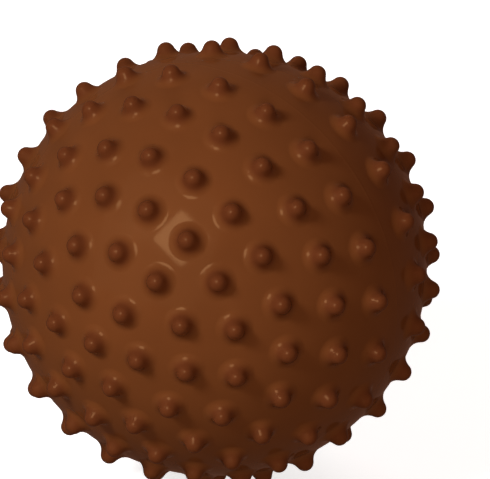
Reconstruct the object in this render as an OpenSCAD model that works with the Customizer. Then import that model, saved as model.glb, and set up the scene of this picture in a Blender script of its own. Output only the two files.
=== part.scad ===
// Nubbed sensory ball: a hollow soft vinyl skin covered in flared nubs, with an air valve and its stopper.
// The ball lies at rest on four nubs, its mould axis level along Y, the valve at the back on +Y.

/* [Ball] */
// Diameter over the tips of the nubs
ball_d = 177.8; // [150:0.1:200]
// Thickness of the vinyl wall between the nubs
wall_t = 1.6; // [1:0.1:3]

/* [Nubs] */
// Height of a nub above the skin
nub_h = 5.8; // [5:0.1:6.5]
// Radius of the rounded tip of a nub
nub_tip_r = 3.5; // [3:0.1:3.8]
// Lean of a nub's flank away from its axis, in degrees
nub_flank_a = 22; // [16:1:28]
// Radius of the hollow flare round the foot of a nub
nub_flare_r = 5; // [4:0.1:5.2]

/* [Rows of nubs] */
// Angle of each row from the mould's pole, in degrees
row_angles = [12.8, 25.6, 38.6, 51.7, 66.2, 80.3];
// Number of nubs in each row
row_counts = [6, 12, 17, 21, 24, 24];
// Turn of each row's first nub from straight down, in degrees
row_turns = [21.1, 21.1, 18.2, 4.6, 11.5, 7.5];

/* [Valve seat] */
// Diameter of the collar that fills the hole in the skin
seat_d = 15; // [14:0.5:16]
// Thickness of the collar, from the skin's outer face inwards
collar_t = 4.5; // [4:0.1:6]
// Diameter of the flange that is fused behind the wall
flange_d = 20; // [18:0.5:24]
// Thickness of the flange behind the wall
flange_t = 1.4; // [1:0.1:2]
// Diameter of the neck where it leaves the collar
neck_d = 11; // [10:0.5:12]
// Diameter of the neck's inner end
neck_end_d = 8; // [7:0.5:9]
// Length of the whole seat, from the skin's outer face inwards
seat_l = 18; // [15:0.5:24]
// Diameter of the air bore at its outer end
bore_d = 5.2; // [5:0.1:6]
// Diameter of the air bore at its inner end
bore_end_d = 4; // [3.5:0.1:4.5]
// Radius of the notch that a lever goes into to lift the stopper
notch_r = 1.4; // [1:0.1:1.8]

/* [Stopper] */
// Diameter of the stopper's head
head_d = 9; // [8:0.1:10]
// Thickness of the stopper's head
head_t = 1.4; // [1:0.1:1.6]
// Length of the stopper's stem under its head
stem_l = 11; // [9:0.5:13]
// Number of sealing rings round the stem
ring_count = 3; // [2:1:4]
// How far a sealing ring stands out from the stem
ring_h = 0.3; // [0.2:0.05:0.5]
// Radius of a sealing ring's rounded edge
ring_r = 0.6; // [0.5:0.05:0.8]

/* [Hidden] */
// How far a cut runs past the face that it opens
overrun = 0.5;
// Radial clearance between the sealing rings and the air bore
ring_gap = 0.05;
// Radial gap round the stopper's head
head_gap = 0.3;
// Depth of the stopper's head below the skin
head_sunk = 0.3;
// Slope cut on the collar's outer edge, which shows as a fine groove
collar_edge = 0.3;
// How far a nub's foot is rooted in the wall
root_h = 0.8;
// Height of the fine step that the flare ends in on the skin
flare_lift = 0.05;
// Number of facets round a nub, fewer than round the ball because there are so many nubs
nub_facets = 32;

body_r = ball_d / 2 - nub_h;
inner_r = body_r - wall_t;
root_y = body_r - root_h;
tip_y = ball_d / 2 - nub_tip_r;
// Where the flank leaves the tip's circle
flank_p = [nub_tip_r * cos(nub_flank_a), tip_y + nub_tip_r * sin(nub_flank_a)];
// The flare's circle touches the flank, and ends flare_lift above the skin
flare_far = body_r + nub_flare_r + flare_lift;
flare_side = tip_y * sin(nub_flank_a) + nub_tip_r + nub_flare_r;
foot_a = nub_flank_a + acos(flare_side / flare_far);
foot_way = [cos(foot_a), sin(foot_a)];
flare_c = flare_far * foot_way;
foot_p = (body_r + flare_lift) * foot_way;

// Heights up the air bore from the ball's centre
seat_y = body_r - seat_l;
collar_y = body_r - collar_t;
collar_top_y = sqrt(pow(body_r, 2) - pow(seat_d / 2, 2));
flange_y = sqrt(pow(inner_r, 2) - pow(flange_d / 2, 2)) - flange_t;
head_y = body_r - head_sunk - head_t;
stem_y = head_y - stem_l;
ring_pitch = stem_l / (ring_count + 1);

// Radius of the tapered air bore at a height up it, and of the stem inside it
function bore_at(y) = (bore_end_d + (bore_d - bore_end_d) * (y - seat_y) / (head_y - seat_y)) / 2;
function stem_at(y) = bore_at(y) - ring_gap - ring_h;

$fn = 96;

// Half outline of a nub, with the ball's centre at the origin and the nub's axis up
module nub_outline() {
  difference() {
    union() {
      intersection() {
        translate([0, tip_y]) circle(r = nub_tip_r);
        translate([0, root_y]) square([nub_tip_r, nub_h + root_h + overrun]);
      }
      polygon([[0, root_y], [foot_p.x, root_y], foot_p, flare_c, flank_p, [0, flank_p.y]]);
    }
    translate(flare_c) circle(r = nub_flare_r);
  }
}

module nub() {
  rotate_extrude($fn = nub_facets) nub_outline();
}

module skin() {
  color("#6e3f1f")
    difference() {
      union() {
        sphere(r = body_r);
        rotate([90, 0, 0]) nub();
        for (way = [-1, 1], i = [0 : len(row_angles) - 1], k = [0 : row_counts[i] - 1])
          rotate([90 * way, 90, 0])
            rotate([0, row_angles[i], way * (row_turns[i] + 360 * k / row_counts[i])])
              nub();
      }
      sphere(r = inner_r);
      rotate([-90, 0, 0]) cylinder(d = seat_d, h = ball_d);
    }
}

// Half outline of the seat, with the ball's centre at the origin and the air bore up
module seat_outline() {
  difference() {
    union() {
      intersection() {
        circle(r = body_r);
        polygon([
          [0, collar_y],
          [seat_d / 2, collar_y],
          [seat_d / 2, collar_top_y - collar_edge],
          [seat_d / 2 - collar_edge - overrun, collar_top_y + overrun],
          [0, body_r + overrun]
        ]);
      }
      intersection() {
        circle(r = inner_r);
        translate([0, flange_y]) square([flange_d / 2, inner_r]);
      }
      polygon([[0, seat_y], [neck_end_d / 2, seat_y], [neck_d / 2, collar_y], [0, collar_y]]);
    }
    polygon([
      [0, seat_y - overrun],
      [bore_end_d / 2, seat_y - overrun],
      [bore_end_d / 2, seat_y],
      [bore_d / 2, head_y],
      [0, head_y]
    ]);
    translate([0, head_y]) square([head_d / 2 + head_gap, body_r]);
  }
}

module valve_seat() {
  color("#5f3519")
    rotate([-90, 0, 0])
      difference() {
        rotate_extrude() seat_outline();
        translate([head_d / 2, 0, head_y + head_t / 2]) cylinder(r = notch_r, h = body_r);
      }
}

// Half outline of the stopper: a flat head with a rounded rim over a tapered stem with sealing rings
module plug_outline() {
  rim_r = head_t / 2;
  translate([0, head_y]) square([head_d / 2 - rim_r, head_t]);
  translate([head_d / 2 - rim_r, head_y + rim_r]) circle(r = rim_r);
  polygon([
    [0, stem_y],
    [stem_at(stem_y) - ring_h, stem_y],
    [stem_at(stem_y), stem_y + ring_h],
    [stem_at(head_y), head_y],
    [0, head_y]
  ]);
  for (i = [1 : ring_count])
    intersection() {
      translate([stem_at(head_y - i * ring_pitch) + ring_h - ring_r, head_y - i * ring_pitch]) circle(r = ring_r);
      translate([0, stem_y]) square([bore_d, stem_l]);
    }
}

module plug() {
  color("#e9e3d6")
    rotate([-90, 0, 0])
      rotate_extrude()
        plug_outline();
}

skin();
valve_seat();
plug();
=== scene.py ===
import math

import bpy
import numpy as np
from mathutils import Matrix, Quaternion, Vector
from mathutils.geometry import delaunay_2d_cdt


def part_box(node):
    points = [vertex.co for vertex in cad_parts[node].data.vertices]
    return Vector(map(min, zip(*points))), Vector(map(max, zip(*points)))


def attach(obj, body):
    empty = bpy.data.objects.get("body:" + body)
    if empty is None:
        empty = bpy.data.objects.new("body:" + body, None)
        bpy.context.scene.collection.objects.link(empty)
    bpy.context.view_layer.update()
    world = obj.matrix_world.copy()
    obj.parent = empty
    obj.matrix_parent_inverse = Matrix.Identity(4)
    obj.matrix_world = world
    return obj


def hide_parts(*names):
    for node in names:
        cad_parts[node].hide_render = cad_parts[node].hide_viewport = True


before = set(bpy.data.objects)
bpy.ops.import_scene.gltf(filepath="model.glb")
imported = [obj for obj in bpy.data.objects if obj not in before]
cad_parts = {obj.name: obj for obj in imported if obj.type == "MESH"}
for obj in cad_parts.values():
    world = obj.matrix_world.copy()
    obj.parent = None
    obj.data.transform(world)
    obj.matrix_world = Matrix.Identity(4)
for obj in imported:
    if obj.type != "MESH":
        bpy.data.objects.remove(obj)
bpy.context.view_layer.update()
mm = 0.001  # shapes are worked out in mm, and meshes and nodes are in metres
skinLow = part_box("skin")[0]
floorHeight = skinLow.z  # the ball lies on its four lowest nubs
tipReach = -skinLow.y / mm  # the pole's nub reaches furthest forward


# an sRGB hex value as linear light, channel by channel: a short straight part, then a power of 2.4
def linearColour(hexText):
    channels = [int(hexText[i:i + 2], 16) / 255 for i in (1, 3, 5)]
    return [c / 12.92 if c <= 0.04045 else ((c + 0.055) / 1.055) ** 2.4 for c in channels] + [1]


# one node with its settings, by property or socket name, and what is linked into it
def addNode(tree, kind, settings=None, links=None):
    node = tree.nodes.new(kind)
    for name, value in (settings or {}).items():
        if isinstance(name, int) or name in node.inputs:
            node.inputs[name].default_value = value
        else:
            setattr(node, name, value)
    for name, source in (links or {}).items():
        tree.links.new(source, node.inputs[name])
    return node


def emptyMaterial(name):
    material = bpy.data.materials.new(name)
    material.use_nodes = True
    material.node_tree.nodes.clear()
    return material, material.node_tree


def addObject(name, data):
    made = bpy.data.objects.new(name, data)
    bpy.context.scene.collection.objects.link(made)
    return made


# points in mm and their faces as a smooth mesh at the origin, with the formula's own normals if given
def placeMesh(name, points, faces, material, normals=None):
    mesh = bpy.data.meshes.new(name)
    mesh.from_pydata((points * mm).tolist(), [], faces)
    mesh.polygons.foreach_set("use_smooth", np.ones(len(mesh.polygons), bool))
    if normals is not None:
        mesh.normals_split_custom_set_from_vertices(normals.tolist())
    mesh.materials.append(material)
    mesh.update()
    return addObject(name, mesh)


def unit(vectors):
    return vectors / np.linalg.norm(vectors, axis=-1, keepdims=True)


# an outline of points (r, h) carried round the Y axis by angles a: x = r sin a, y = h, z = r cos a
def turnedPoints(radii, heights, angles):
    radii = np.broadcast_to(radii, (len(angles), radii.shape[-1]))
    heights = np.broadcast_to(heights, radii.shape)
    points = np.stack([radii * np.sin(angles)[:, None], heights, radii * np.cos(angles)[:, None]], 2)
    return points.transpose(1, 0, 2)


# each point of a ring is joined to the next ring and to the next spoke, and the last spoke to the first
def facesBetween(rings):
    after = np.roll(rings, -1, 1)
    return np.stack([rings[1:], rings[:-1], after[:-1], after[1:]], 2).reshape(-1, 4)


# A turned outline runs up the outside of the piece, so that its faces point outwards. A closed one joins
# its last ring to its first, and an open one has a point on the axis below and above.
def turnedPiece(name, points, material, ends=None):
    rings, spokes = points.shape[:2]
    number = np.arange(rings * spokes).reshape(rings, spokes)
    points = points.reshape(-1, 3)
    if ends is None:
        faces = facesBetween(np.concatenate([number, number[:1]])).tolist()
        return placeMesh(name, points, faces, material)
    after = np.roll(number, -1, 1)
    below, above = len(points), len(points) + 1
    faces = facesBetween(number).tolist()
    faces += np.stack([np.full(spokes, below), after[0], number[0]], 1).tolist()
    faces += np.stack([np.full(spokes, above), number[-1], after[-1]], 1).tolist()
    return placeMesh(name, np.concatenate([points, ends]), faces, material)


# the colour times a factor that drifts from 1 - share to 1 + share, over clouds of the given size in mm
def cloudedColour(tree, place, colour, size, share):
    clouds = addNode(tree, "ShaderNodeTexNoise", {"Scale": 1 / (size * mm), "Detail": 2},
                     {"Vector": place})
    factor = addNode(tree, "ShaderNodeMapRange", {
        "From Min": 0.3,  # a noise texture stays mostly between 0.3 and 0.7
        "From Max": 0.7,
        "To Min": 1 - share,
        "To Max": 1 + share,
    }, {"Value": clouds.outputs[0]})
    clouded = addNode(tree, "ShaderNodeVectorMath", {"operation": "SCALE"},
                      {0: colour, "Scale": factor.outputs[0]})
    return clouded.outputs[0]


# ripples of the given size, raised by up to the depth, both in mm
def unevenNormal(tree, place, size, depth):
    ripples = addNode(tree, "ShaderNodeTexNoise", {"Scale": 1 / (size * mm), "Detail": 1},
                      {"Vector": place})
    bump = addNode(tree, "ShaderNodeBump", {"Distance": depth * mm}, {"Height": ripples.outputs[0]})
    return bump.outputs[0]


# the skin: one soft casting with its nubs, a mould line round its middle and a hole for the valve

nub = {
    "height": 5.8,  # mm above the skin
    "tipRadius": 3.5,
    "flankLean": 22,  # degrees away from the nub's own axis
    "flareRadius": 5,
    "spokes": 26,
    "domeSteps": 9,
    "flareSteps": 5,
    "rowAngles": (12.8, 25.6, 38.6, 51.7, 66.2, 80.3),  # degrees from the pole
    "rowCounts": (6, 12, 17, 21, 24, 24),
    "rowTurns": (21.1, 21.1, 18.2, 4.6, 11.5, 7.5),  # degrees from straight down
}

ball = {
    "wall": 1.6,  # mm
    "netStep": 2.8,  # mm between the points of the smooth part
    "netClearance": 0.6,  # of a step, kept free round nubs, mould line and hole
    "seamHeight": 0.05,  # mm
    "seamWidth": 0.5,
    "seamOffsets": (-1.1, -0.5, 0, 0.5, 1.1),  # mm from the mould line, a ring of points at each
    "seamCount": 264,
    "holeRadius": 7.5,  # mm
    "lipRadius": 0.4,
    "lipSteps": 4,
    "rimSpokes": 60,
    "innerSteps": 40,
}

vinyl = {
    "wallColour": "#784523",
    # the nubs' colour: the deeper tone of thick vinyl, darkened further as painted shade
    "nubDeepShadeColour": "#6b391e",
    "deepShadeFrom": 0,  # mm above the ball's sphere, where the wall's colour starts to turn into the nub's darker colour, partly painted shade
    "deepShadeTo": 2.5,
    "roughness": 0.09,
    "ior": 1.53,  # of plasticised PVC
    "sheen": "#ffc88c",  # tint of the gloss
    "cloudSize": 24,  # mm
    "cloudShare": 0.05,
    "rippleSize": 2.2,  # mm
    "rippleDepth": 0.01,
}

bodyRadius = tipReach - nub["height"]


# Soft PVC, cast in a polished mould: glossy, faintly rippled and a little cloudy. The nubs and the feet
# of their flares are painted darker than the thin wall. This is partly the deeper tone of thick vinyl,
# and partly painted shade: it stands in for the glow that light passing through the thin wall gives the
# wall but not the nubs, and for the shade round the nubs' feet. How far a point stands out from the
# ball's sphere is the length of its own coordinates less the radius.
def rotocastVinyl():
    material, tree = emptyMaterial("rotocast_soft_pvc")
    place = addNode(tree, "ShaderNodeTexCoord").outputs["Object"]
    reach = addNode(tree, "ShaderNodeVectorMath", {"operation": "LENGTH"}, {0: place})
    # the share of the nubs' darker colour, partly painted shade, grows with the height above the sphere
    thick = addNode(tree, "ShaderNodeMapRange", {
        "interpolation_type": "SMOOTHSTEP",
        "From Min": (bodyRadius + vinyl["deepShadeFrom"]) * mm,
        "From Max": (bodyRadius + vinyl["deepShadeTo"]) * mm,
    }, {"Value": reach.outputs["Value"]})
    colour = addNode(tree, "ShaderNodeMix", {
        "data_type": "RGBA",
        6: linearColour(vinyl["wallColour"]),  # a colour mix has its two colours on sockets 6 and 7
        7: linearColour(vinyl["nubDeepShadeColour"]),
    }, {0: thick.outputs["Result"]})
    clouded = cloudedColour(tree, place, colour.outputs[2], vinyl["cloudSize"], vinyl["cloudShare"])
    rippled = unevenNormal(tree, place, vinyl["rippleSize"], vinyl["rippleDepth"])
    shader = addNode(tree, "ShaderNodeBsdfPrincipled", {
        "Roughness": vinyl["roughness"],
        "IOR": vinyl["ior"],
        "Specular Tint": linearColour(vinyl["sheen"]),
    }, {"Base Color": clouded, "Normal": rippled})
    addNode(tree, "ShaderNodeOutputMaterial", links={"Surface": shader.outputs[0]})
    return material


# Row by row: angle t from the pole and f round from straight down give the direction
# (sin t sin f, -cos t, -sin t cos f), once in front and once, mirrored, behind.
def nubDirections():
    rows = [np.array([[0, -1, 0]])]
    for angle, count, turn in zip(nub["rowAngles"], nub["rowCounts"], nub["rowTurns"]):
        t = math.radians(angle)
        f = math.radians(turn) + 2 * np.pi * np.arange(count) / count
        depth = np.full(count, -math.cos(t))
        row = np.stack([math.sin(t) * np.sin(f), depth, -math.sin(t) * np.cos(f)], 1)
        rows += [row, row * (1, -1, 1)]
    return np.concatenate(rows)


# Distance from the nub's axis and height from the ball's centre, from the tip outwards: an arc over the
# tip, then the arc of the flare, which touches the first at the flank and the ball's sphere at the
# foot. The normal at a point is midway between those of the two pieces of the outline that meet there,
# and at the foot it is the sphere's.
def nubOutline():
    lean = math.radians(nub["flankLean"])
    tip, flare = nub["tipRadius"], nub["flareRadius"]
    tipCentre = tipReach - tip
    far = bodyRadius + flare
    footAngle = lean + math.acos((tipCentre * math.sin(lean) + tip + flare) / far)
    dome = np.linspace(math.pi / 2, lean, nub["domeSteps"] + 1)[1:]
    hollow = np.linspace(lean, footAngle, nub["flareSteps"] + 1) + math.pi
    flareOut, flareHigh = far * math.cos(footAngle), far * math.sin(footAngle)
    out = np.concatenate([tip * np.cos(dome), flareOut + flare * np.cos(hollow)])
    high = np.concatenate([tipCentre + tip * np.sin(dome), flareHigh + flare * np.sin(hollow)])
    along = np.diff(np.concatenate([[[0, tipReach]], np.stack([out, high], 1)]), axis=0)
    normal = unit(np.stack([-along[:, 1], along[:, 0]], 1))
    foot = unit(np.array([[out[-1], high[-1]]]))
    normal = unit(normal + np.concatenate([normal[1:], foot]))
    normal[-1] = foot[0]
    return out, high, normal


# Each nub is its outline carried round its own axis, as rings by spokes, with one more point at the tip.
def nubGrids(directions):
    out, high, normal = nubOutline()
    spokes = nub["spokes"]
    nearPole = np.abs(directions[:, 1:2]) > 0.9  # there the X axis stands in for the Y axis
    beside = unit(np.cross(directions, np.where(nearPole, (1.0, 0, 0), (0, 1.0, 0))))
    across = np.cross(directions, beside)
    turn = 2 * np.pi * np.arange(spokes) / spokes
    spoke = beside[:, None] * np.cos(turn)[:, None] + across[:, None] * np.sin(turn)[:, None]
    axis = directions[:, None, None]
    points = out[:, None, None] * spoke[:, None] + high[:, None, None] * axis
    normals = normal[:, :1, None] * spoke[:, None] + normal[:, 1:, None] * axis
    count, rings = len(directions), len(out)
    points = np.concatenate([directions[:, None] * tipReach, points.reshape(count, -1, 3)], 1)
    normals = np.concatenate([directions[:, None], normals.reshape(count, -1, 3)], 1)
    tips = np.arange(count)[:, None] * points.shape[1]
    number = tips[:, :, None] + 1 + np.arange(rings * spokes).reshape(rings, spokes)
    after = np.roll(number, -1, 2)
    tips = np.broadcast_to(tips, (count, spokes))
    fans = np.stack([tips, number[:, 0], after[:, 0]], 2).reshape(-1, 3)
    quads = np.stack([number[:, :-1], number[:, 1:], after[:, 1:], after[:, :-1]], 3).reshape(-1, 4)
    faces = fans.tolist() + quads.tolist()
    return points.reshape(-1, 3), normals.reshape(-1, 3), faces, number[:, -1].reshape(-1), out[-1]


# An even spiral over the sphere, with each point turned on from the last by the golden angle. It leaves
# out the nubs, the mould line and the valve's hole, and the line has rings of points of its own.
def netDirections(directions, footOut):
    step = ball["netStep"] / bodyRadius
    count = int(4 * math.pi / (step ** 2 * math.sqrt(3) / 2))
    i = np.arange(count)
    y = 1 - (2 * i + 1) / count
    turn = i * math.pi * (3 - math.sqrt(5))
    around = np.sqrt(1 - y ** 2)
    spiral = np.stack([around * np.cos(turn), y, around * np.sin(turn)], 1)
    clear = ball["netClearance"] * step
    free = (spiral @ directions.T).max(1) < math.cos(math.asin(footOut / bodyRadius) + clear)
    free &= np.abs(y) > ball["seamOffsets"][-1] / bodyRadius + clear
    free &= y < math.cos(math.asin((ball["holeRadius"] + ball["lipRadius"]) / bodyRadius) + clear)
    along = 2 * np.pi * np.arange(ball["seamCount"]) / ball["seamCount"]
    seams = [np.stack([np.sin(along), np.full(len(along), offset / bodyRadius), np.cos(along)], 1)
             for offset in ball["seamOffsets"]]
    return np.concatenate([spiral[free]] + [unit(seam) for seam in seams])


# The mould line is a low bell-shaped ridge: its lift falls off with the square of the distance y from
# the line, and the normal leans back by the ridge's slope.
def netPoints(ways):
    y = ways[:, 1:2] * bodyRadius
    lift = ball["seamHeight"] * np.exp(-(y / ball["seamWidth"]) ** 2)
    slope = -2 * y / ball["seamWidth"] ** 2 * lift
    return ways * (bodyRadius + lift), unit(ways - slope * (np.array([0, 1, 0]) - ways[:, 1:2] * ways))


# Round the valve's hole a lip, the wall's edge and the inner sphere down to the other pole, carried
# round the Y axis. A normal is the difference of the outline's neighbouring points, turned by 90 degrees.
def rimAndInside():
    hole, lip = ball["holeRadius"], ball["lipRadius"]
    innerRadius = bodyRadius - ball["wall"]
    top = math.sqrt(bodyRadius ** 2 - (hole + lip) ** 2)
    bend = np.linspace(0, math.pi / 2, ball["lipSteps"] + 1)
    deep = np.linspace(math.asin(hole / innerRadius), math.pi, ball["innerSteps"] + 1)[:-1]
    radii = np.concatenate([hole + lip - lip * np.sin(bend), innerRadius * np.sin(deep)])
    heights = np.concatenate([top - lip + lip * np.cos(bend), innerRadius * np.cos(deep)])
    tangents = unit(np.stack([np.gradient(radii), np.gradient(heights)], 1))
    spokes = ball["rimSpokes"]
    angles = 2 * np.pi * np.arange(spokes) / spokes
    points = turnedPoints(radii, heights, angles).reshape(-1, 3)
    normals = turnedPoints(tangents[:, 1], -tangents[:, 0], angles).reshape(-1, 3)
    number = np.arange(len(points)).reshape(-1, spokes)
    fan = np.stack([np.full(spokes, len(points)), number[-1], np.roll(number[-1], -1)], 1)
    points = np.concatenate([points, [[0, -innerRadius, 0]]])
    normals = np.concatenate([normals, [[0, 1, 0]]])
    return points, normals, facesBetween(number), fan, number[0]


# The net between the feet of the nubs is made flat: seen from the valve's pole and laid on a plane,
# circles on the sphere stay circles, so the plane's even net is the sphere's own.
def buildSkin(material):
    directions = nubDirections()
    nubPoints, nubNormals, faces, feet, footOut = nubGrids(directions)
    outer, outerNormals = netPoints(netDirections(directions, footOut))
    rimPoints, rimNormals, rimQuads, rimFan, rimRing = rimAndInside()
    outerStart = len(nubPoints)
    rimStart = outerStart + len(outer)
    points = np.concatenate([nubPoints, outer, rimPoints])
    normals = np.concatenate([nubNormals, outerNormals, rimNormals])
    shared = np.concatenate([feet, outerStart + np.arange(len(outer)), rimStart + rimRing])
    owner = np.repeat(np.arange(len(directions)), nub["spokes"])
    owner = np.concatenate([owner, np.full(len(shared) - len(feet), -1)])
    ways = unit(points[shared])
    flat = ways[:, [0, 2]] / (1 - ways[:, 1:2])
    made = delaunay_2d_cdt(flat.tolist(), [], [], 0, 1e-9)  # filled all over, as no edges are given
    triangles = np.array(made[3])[:, 0][np.array(made[2])]
    owners = owner[triangles]
    underNub = (owners[:, 0] >= 0) & (owners[:, 0] == owners[:, 1]) & (owners[:, 1] == owners[:, 2])
    triangles = shared[triangles[~underNub]]
    corners = points[triangles]
    facing = np.cross(corners[:, 1] - corners[:, 0], corners[:, 2] - corners[:, 0])
    inwards = (facing * corners.mean(1)).sum(1) < 0
    triangles[inwards] = triangles[inwards][:, ::-1]
    faces += triangles.tolist() + (rimQuads + rimStart).tolist() + (rimFan + rimStart).tolist()
    return placeMesh("vinyl_skin", points, faces, material, normals)


skin = buildSkin(rotocastVinyl())
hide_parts("skin")
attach(skin, "ball")
print("skin made:", len(skin.data.polygons), "faces")

# the valve: a moulded seat, fused into the hole, and its push-in stopper

fittings = {
    "seatColour": "#5f3519",
    "plugColour": "#e9e3d6",
    "roughness": 0.32,
    "ior": 1.53,  # of plasticised PVC
    "cloudSize": 5,  # mm
    "cloudShare": 0.04,
    "grainSize": 0.5,  # mm
    "grainDepth": 0.006,
}

valve = {
    "collarDiameter": 15,  # mm
    "collarThickness": 4.5,
    "collarSlope": 0.3,
    "flangeDiameter": 20,
    "flangeThickness": 1.4,
    "neckDiameter": 11,
    "neckEndDiameter": 8,
    "length": 18,
    "boreDiameter": 5.2,
    "boreEndDiameter": 4,
    "headGap": 0.3,
    "ledge": 0.3,  # a fine step round the head's recess, which widens into the notch
    "notchRadius": 1.4,
    "edgeRadius": 0.03,
    "edgeSteps": 3,
    "faceSteps": 6,
    "spokes": 84,
    "notchSpokes": 15,
}

stopper = {
    "headDiameter": 9,  # mm
    "headThickness": 1.4,
    "headSunk": 0.3,
    "headDome": 0.12,
    "stemLength": 11,
    "ringCount": 3,
    "ringHeight": 0.3,
    "ringRadius": 0.6,
    "ringGap": 0.05,
    "noseLength": 0.3,
    "domeSteps": 6,
    "rimSteps": 10,
    "stemSteps": 110,
    "spokes": 64,
}

headHeight = bodyRadius - stopper["headSunk"] - stopper["headThickness"]  # of the head's under face


# Soft PVC, moulded in a fine-blasted tool: a satin grain, so its gloss is broader and duller than the
# glossy skin's.
def fittingVinyl(name, colourText):
    material, tree = emptyMaterial(name)
    place = addNode(tree, "ShaderNodeTexCoord").outputs["Object"]
    colour = addNode(tree, "ShaderNodeRGB")
    colour.outputs[0].default_value = linearColour(colourText)
    clouded = cloudedColour(tree, place, colour.outputs[0], fittings["cloudSize"], fittings["cloudShare"])
    grained = unevenNormal(tree, place, fittings["grainSize"], fittings["grainDepth"])
    shader = addNode(tree, "ShaderNodeBsdfPrincipled", {
        "Roughness": fittings["roughness"],
        "IOR": fittings["ior"],
    }, {"Base Color": clouded, "Normal": grained})
    addNode(tree, "ShaderNodeOutputMaterial", links={"Surface": shader.outputs[0]})
    return material


# The bore widens evenly from the seat's inner end to the stopper's head.
def boreRadius(height):
    low = bodyRadius - valve["length"]
    share = (height - low) / (headHeight - low)
    return (valve["boreEndDiameter"] + (valve["boreDiameter"] - valve["boreEndDiameter"]) * share) / 2


# A closed outline, with each sharp corner replaced by an arc that touches both its sides.
def roundedLoop(corners, radius, steps):
    corners = np.array(corners, float)
    before = unit(np.roll(corners, 1, 0) - corners)
    after = unit(np.roll(corners, -1, 0) - corners)
    half = np.arccos(np.clip((before * after).sum(1), -1, 1)) / 2
    centre = corners + unit(before + after) * (radius / np.sin(half))[:, None]
    first = corners + before * (radius / np.tan(half))[:, None] - centre
    last = corners + after * (radius / np.tan(half))[:, None] - centre
    share = np.linspace(0, 1, steps + 1)[None, :, None]
    arc = unit(first[:, None] * (1 - share) + last[:, None] * share) * radius
    kept = np.ones(arc.shape[:2], bool)
    kept[half > math.radians(80), 1:] = False  # a nearly straight corner stays one point
    return (centre[:, None] + arc)[kept]


# From the collar's foot up to the top face, down the head's recess and the bore, and back by the neck
# and the flange. The recess's wall stands at the given radius, so that it can move out round the notch.
def seatOutline(wallRadius):
    innerRadius = bodyRadius - ball["wall"]
    collar, flange, slope = valve["collarDiameter"] / 2, valve["flangeDiameter"] / 2, valve["collarSlope"]
    low, collarLow = bodyRadius - valve["length"], bodyRadius - valve["collarThickness"]
    recess = stopper["headDiameter"] / 2 + valve["headGap"]
    notchFloor = headHeight + stopper["headThickness"] / 2
    flangeTop = math.sqrt(innerRadius ** 2 - flange ** 2)
    flangeLow = flangeTop - valve["flangeThickness"]
    collarTop = math.sqrt(bodyRadius ** 2 - collar ** 2)
    face = np.linspace(collar - slope, wallRadius, valve["faceSteps"] + 1)
    return [
        (collar, math.sqrt(innerRadius ** 2 - collar ** 2)),
        (collar, collarTop - slope),
        *[(r, math.sqrt(bodyRadius ** 2 - r ** 2)) for r in face],
        (wallRadius, notchFloor),
        (recess, notchFloor),
        (recess, headHeight),
        (boreRadius(headHeight), headHeight),
        (boreRadius(low), low),
        (valve["neckEndDiameter"] / 2, low),
        (valve["neckDiameter"] / 2, collarLow),
        (collar, collarLow),
        (collar, flangeLow),
        (flange, flangeLow),
        (flange, flangeTop),
    ]


# The seat's outline carried round the Y axis. Round the notch, the recess's wall moves out to the
# notch's circle: at angle a it is c cos a + sqrt(r^2 - c^2 sin^2 a) away, where r is the circle's radius
# and c is the distance of its centre.
def buildSeat(material):
    centre, notch = stopper["headDiameter"] / 2, valve["notchRadius"]
    recess = centre + valve["headGap"]
    meets = math.acos((centre ** 2 + recess ** 2 - notch ** 2) / (2 * centre * recess))
    inNotch = np.linspace(-meets, meets, valve["notchSpokes"])
    rest = np.linspace(meets, 2 * math.pi - meets, valve["spokes"] + 1)[1:-1]
    across = np.maximum(notch ** 2 - (centre * np.sin(inNotch)) ** 2, 0)
    reach = centre * np.cos(inNotch) + np.sqrt(across)
    wall = np.concatenate([reach, np.full(len(rest), recess)])
    near, far = recess + valve["ledge"], centre + notch
    loops = [roundedLoop(seatOutline(r), valve["edgeRadius"], valve["edgeSteps"]) for r in (near, far)]
    share = ((np.maximum(wall, near) - near) / (far - near))[:, None, None]
    outline = loops[0] * (1 - share) + loops[1] * share
    points = turnedPoints(outline[:, :, 0], outline[:, :, 1], np.concatenate([inNotch, rest]))
    return turnedPiece("valve_seat_body", points, material)


# The stopper's outline carried round the Y axis: a shallow dome, the rim's half circle, and a tapered
# stem whose radius at each height is the largest of the taper, the nose's slope and the rings' circles.
# It is worked out from the head downwards, and turned upwards for its faces.
def buildStopper(material):
    headRadius, thick, dome = stopper["headDiameter"] / 2, stopper["headThickness"], stopper["headDome"]
    rim = thick / 2
    domeOut = np.linspace(0, headRadius - rim, stopper["domeSteps"] + 1)[1:]
    domeHigh = headHeight + thick + dome * (1 - (domeOut / domeOut[-1]) ** 2)
    bend = np.linspace(math.pi / 2, -math.pi / 2, stopper["rimSteps"] + 1)[1:]
    high = np.linspace(headHeight, headHeight - stopper["stemLength"], stopper["stemSteps"] + 1)
    taper = boreRadius(high) - stopper["ringGap"] - stopper["ringHeight"]
    ringHigh = np.linspace(high[0], high[-1], stopper["ringCount"] + 2)[1:-1]
    drop = (high[:, None] - ringHigh) / stopper["ringRadius"]
    ringOut = boreRadius(ringHigh) - stopper["ringGap"]
    bumps = ringOut - stopper["ringRadius"] * (1 - np.sqrt(np.maximum(1 - drop ** 2, 0)))
    nose = np.minimum(high - high[-1] - stopper["noseLength"], 0)
    stem = np.maximum(taper + nose, np.where(np.abs(drop) < 1, bumps, 0).max(1))
    radii = np.concatenate([domeOut, headRadius - rim + rim * np.cos(bend), stem])
    heights = np.concatenate([domeHigh, headHeight + rim + rim * np.sin(bend), high])
    angles = 2 * np.pi * np.arange(stopper["spokes"]) / stopper["spokes"]
    ends = [[0, high[-1], 0], [0, headHeight + thick + dome, 0]]
    return turnedPiece("stopper_plug", turnedPoints(radii, heights, angles)[::-1], material, ends)


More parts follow.
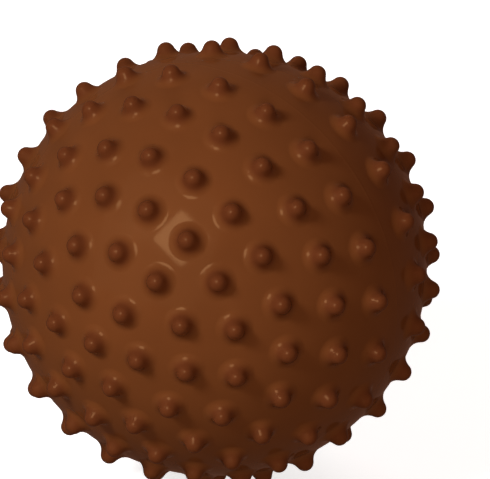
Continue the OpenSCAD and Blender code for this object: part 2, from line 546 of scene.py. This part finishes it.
seat = buildSeat(fittingVinyl("moulded_soft_pvc", fittings["seatColour"]))
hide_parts("valve_seat")
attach(seat, "ball")
plug = buildStopper(fittingVinyl("cream_soft_pvc", fittings["plugColour"]))
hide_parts("plug")
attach(plug, "stopper")
print("valve made")

# camera and light

view = {
    "azimuth": 32.6,  # degrees round from the pole of the mould
    "elevation": 25.25,
    "roll": 0.4,
    "distance": 2020,  # mm from the ball's centre, so the view is almost parallel
    "imageWidth": 490,
    "bodyRadiusPixels": 212.2,
    "aimRight": 30.3,  # pixels from the ball's centre to the picture's centre
    "aimUp": 24,
    "sensorWidth": 36,
    "clipEnd": 50,  # m
}

studio = {
    # for each lamp: degrees to the camera's left and above it, metres away, metres across, brightness
    "key": (41, 21, 2.2, 0.6, 25.5),
    "backLamp": (180, 45, 2.5, 1.5, 5),
    "frontFill": (-2, -13, 2.4, 0.9, 7.6),
    "panel": (32, 12, 2.6, 3.2, 0.16),  # only seen as a reflection
    "softbox": (18, 13.2, 2.4, 0.9, 2.2),  # the same, standing nearly on a corner
    "softboxRoll": 57,  # degrees
    "fillColour": "#fff3ea",
    "tentRadius": 5,  # m
    "tentSegments": 32,
    "tentRings": 16,
    "tentColour": "#ffaf8e",
    "tentGlow": 0.12,
    "floorReach": 4,  # m
    "floorColour": "#f4f4f4",
    "floorGlow": 0.72,
    "fadeFrom": 0.25,  # m, where the floor starts to fade to white
    "fadeTo": 1.2,
    "bounceColour": "#54402e",
}


# The lens is the sensor's width times the distance, over the width that the picture takes in at the
# ball. The camera looks past the ball's centre by the aim's pixels, so the ball is off the middle.
def placeCamera():
    azimuth, elevation = math.radians(view["azimuth"]), math.radians(view["elevation"])
    away = Vector((math.sin(azimuth) * math.cos(elevation), -math.cos(azimuth) * math.cos(elevation),
                   math.sin(elevation)))
    roll = Quaternion((0, 0, 1), math.radians(view["roll"]))
    turned = away.to_track_quat("Z", "Y") @ roll
    right, up = turned @ Vector((1, 0, 0)), turned @ Vector((0, 1, 0))
    pixel = bodyRadius / view["bodyRadiusPixels"]
    position = away * view["distance"]
    aim = (right * view["aimRight"] + up * view["aimUp"]) * pixel
    data = bpy.data.cameras.new("camera")
    data.sensor_width = view["sensorWidth"]
    data.lens = view["sensorWidth"] * view["distance"] / (view["imageWidth"] * pixel)
    data.clip_end = view["clipEnd"]
    camera = addObject("camera", data)
    camera.location = position * mm
    camera.rotation_euler = ((position - aim).to_track_quat("Z", "Y") @ roll).to_euler()
    bpy.context.scene.camera = camera
    return away, right, up


away, right, up = placeCamera()
print("camera placed")


# A square lamp to the left of the camera and above it. Its power is its radiance times pi times its area.
def addLamp(name, side, rise, distance, size, radiance,
            roll=0, colour="#ffffff", diffuse=True, glossy=True):
    side, rise = math.radians(side), math.radians(rise)
    level = away * math.cos(side) - right * math.sin(side)
    toward = level * math.cos(rise) + up * math.sin(rise)
    data = bpy.data.lights.new(name, "AREA")
    data.shape = "SQUARE"
    data.size = size
    data.energy = radiance * math.pi * size ** 2
    data.color = linearColour(colour)[:3]
    lamp = addObject(name, data)
    lamp.location = toward * distance
    turn = Quaternion((0, 0, 1), math.radians(roll))
    lamp.rotation_euler = (toward.to_track_quat("Z", "Y") @ turn).to_euler()
    lamp.visible_diffuse = diffuse
    lamp.visible_glossy = glossy


# Matt paper that looks white to the camera, in mirrors and through glass, and keeps shadows: to these
# its light is its shaded colour plus a glow, which grows to full white away from the ball. To other
# rays it is a dim colour, so it throws little light back on the object.
def whiteWhereSeen(name):
    material, tree = emptyMaterial(name)
    path = addNode(tree, "ShaderNodeLightPath")
    either = addNode(tree, "ShaderNodeMath", {"operation": "MAXIMUM"},
                     {0: path.outputs["Is Camera Ray"], 1: path.outputs["Is Glossy Ray"]})
    seen = addNode(tree, "ShaderNodeMath", {"operation": "MAXIMUM"},
                   {0: either.outputs[0], 1: path.outputs["Is Transmission Ray"]})
    pale = addNode(tree, "ShaderNodeBsdfDiffuse", {"Color": linearColour(studio["floorColour"])})
    place = addNode(tree, "ShaderNodeTexCoord").outputs["Object"]
    far = addNode(tree, "ShaderNodeVectorMath", {"operation": "LENGTH"}, {0: place})
    glow = addNode(tree, "ShaderNodeMapRange", {
        "From Min": studio["fadeFrom"],
        "From Max": studio["fadeTo"],
        "To Min": studio["floorGlow"],
        "To Max": 1,
    }, {"Value": far.outputs["Value"]})
    light = addNode(tree, "ShaderNodeEmission", {"Color": (1, 1, 1, 1)},
                    {"Strength": glow.outputs["Result"]})
    bright = addNode(tree, "ShaderNodeAddShader", links={0: pale.outputs[0], 1: light.outputs[0]})
    dim = addNode(tree, "ShaderNodeBsdfDiffuse", {"Color": linearColour(studio["bounceColour"])})
    mixed = addNode(tree, "ShaderNodeMixShader",
                    links={0: seen.outputs[0], 1: dim.outputs[0], 2: bright.outputs[0]})
    addNode(tree, "ShaderNodeOutputMaterial", links={"Surface": mixed.outputs[0]})
    return material


# A sphere all round that only reflections and soft light meet: a warm, dim room.
def buildTent():
    bpy.ops.mesh.primitive_uv_sphere_add(segments=studio["tentSegments"], ring_count=studio["tentRings"],
                                         radius=studio["tentRadius"])
    tent = bpy.context.object
    tent.name = "tent"
    material, tree = emptyMaterial("warm_tent_cloth")
    glow = addNode(tree, "ShaderNodeEmission", {
        "Color": linearColour(studio["tentColour"]),
        "Strength": studio["tentGlow"],
    })
    addNode(tree, "ShaderNodeOutputMaterial", links={"Surface": glow.outputs[0]})
    tent.data.materials.append(material)
    tent.visible_camera = False
    tent.visible_shadow = False


def buildFloor():
    reach = studio["floorReach"]
    corners = [(-reach, -reach), (reach, -reach), (reach, reach), (-reach, reach)]
    mesh = bpy.data.meshes.new("floor")
    mesh.from_pydata([(x, y, floorHeight) for x, y in corners], [], [(0, 1, 2, 3)])
    mesh.materials.append(whiteWhereSeen("paper_floor"))
    floor = addObject("floor", mesh)
    floor.visible_glossy = False


# White behind everything, for the camera alone: the tent stands before it for every other ray.
def lightWorld():
    world = bpy.data.worlds.new("studio")
    bpy.context.scene.world = world
    world.use_nodes = True
    world.node_tree.nodes.clear()
    white = addNode(world.node_tree, "ShaderNodeBackground", {"Color": (1, 1, 1, 1), "Strength": 1})
    addNode(world.node_tree, "ShaderNodeOutputWorld", links={"Surface": white.outputs[0]})


addLamp("key", *studio["key"], glossy=False)
addLamp("back_lamp", *studio["backLamp"], glossy=False)
addLamp("front_fill", *studio["frontFill"], colour=studio["fillColour"], glossy=False)
addLamp("panel", *studio["panel"], diffuse=False)
addLamp("softbox", *studio["softbox"], roll=studio["softboxRoll"], diffuse=False)
lightWorld()
buildTent()
buildFloor()
print("studio lit")

bpy.context.scene.view_settings.view_transform = "Standard"
